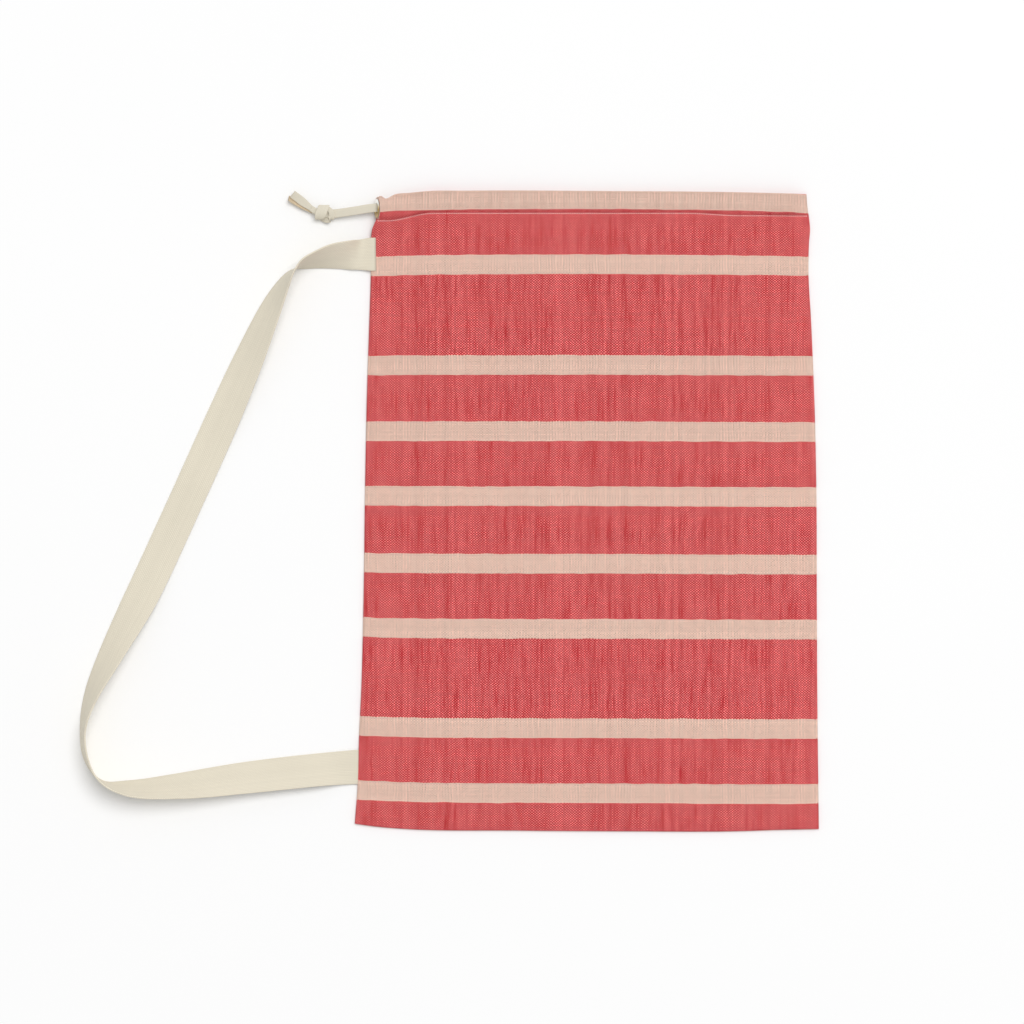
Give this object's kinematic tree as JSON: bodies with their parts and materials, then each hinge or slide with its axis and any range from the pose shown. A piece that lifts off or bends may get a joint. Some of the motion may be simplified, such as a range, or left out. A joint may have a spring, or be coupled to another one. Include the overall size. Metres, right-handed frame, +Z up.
{
  "type": "laundry bag",
  "caption": "Flat striped cotton laundry bag with a webbing shoulder strap sewn to one side and a flat drawstring that closes its mouth through a brass eyelet.",
  "frame": {"origin": "on the surface the bag rests on, under the middle of the whole object with its strap laid out", "axes": "+Z up out of the bag's front, +Y from the bottom seam to the mouth, +X from the strap's side to the plain side"},
  "size_m": [0.8196, 0.7122, 0.0381],
  "materials": {
    "cloth": "plain weave cotton, washed red with pale bands in groups of five",
    "webbing": "natural cotton webbing",
    "tape": "natural flat cotton tape",
    "thread": "pale sewing thread",
    "brass": "polished, lightly aged"
  },
  "bodies": {
    "bag": {"front_panel": "cloth", "back_panel": "cloth", "front_casing_hem": "cloth", "back_casing_hem": "cloth", "casing_end_wall": "cloth", "eyelet_barrel": "brass", "eyelet_washer": "brass", "drawstring_loop": "tape", "strap_tab_top": "webbing", "strap_tab_bottom": "webbing", "left_seam_stitching": "thread", "right_seam_stitching": "thread", "bottom_seam_stitching": "thread", "front_casing_stitching": "thread", "back_casing_stitching": "thread"},
    "strap": {"shoulder_strap": "webbing"},
    "drawstring": {"drawstring_upper_strand": "tape", "drawstring_lower_strand": "tape", "drawstring_knot": "tape", "drawstring_upper_tail": "tape", "drawstring_lower_tail": "tape"}
  },
  "joints": [
    {"name": "strap_swing", "type": "hinge", "parent": "bag", "child": "strap", "pos_m": [-0.0958, 0, 0.00195], "axis": [0.0302, 0.9995, 0], "range_deg": [0, 92]},
    {"name": "drawstring_pull", "type": "slide", "parent": "bag", "child": "drawstring", "axis": [-1, 0, 0], "range_m": [0, 0.3]}
  ]
}
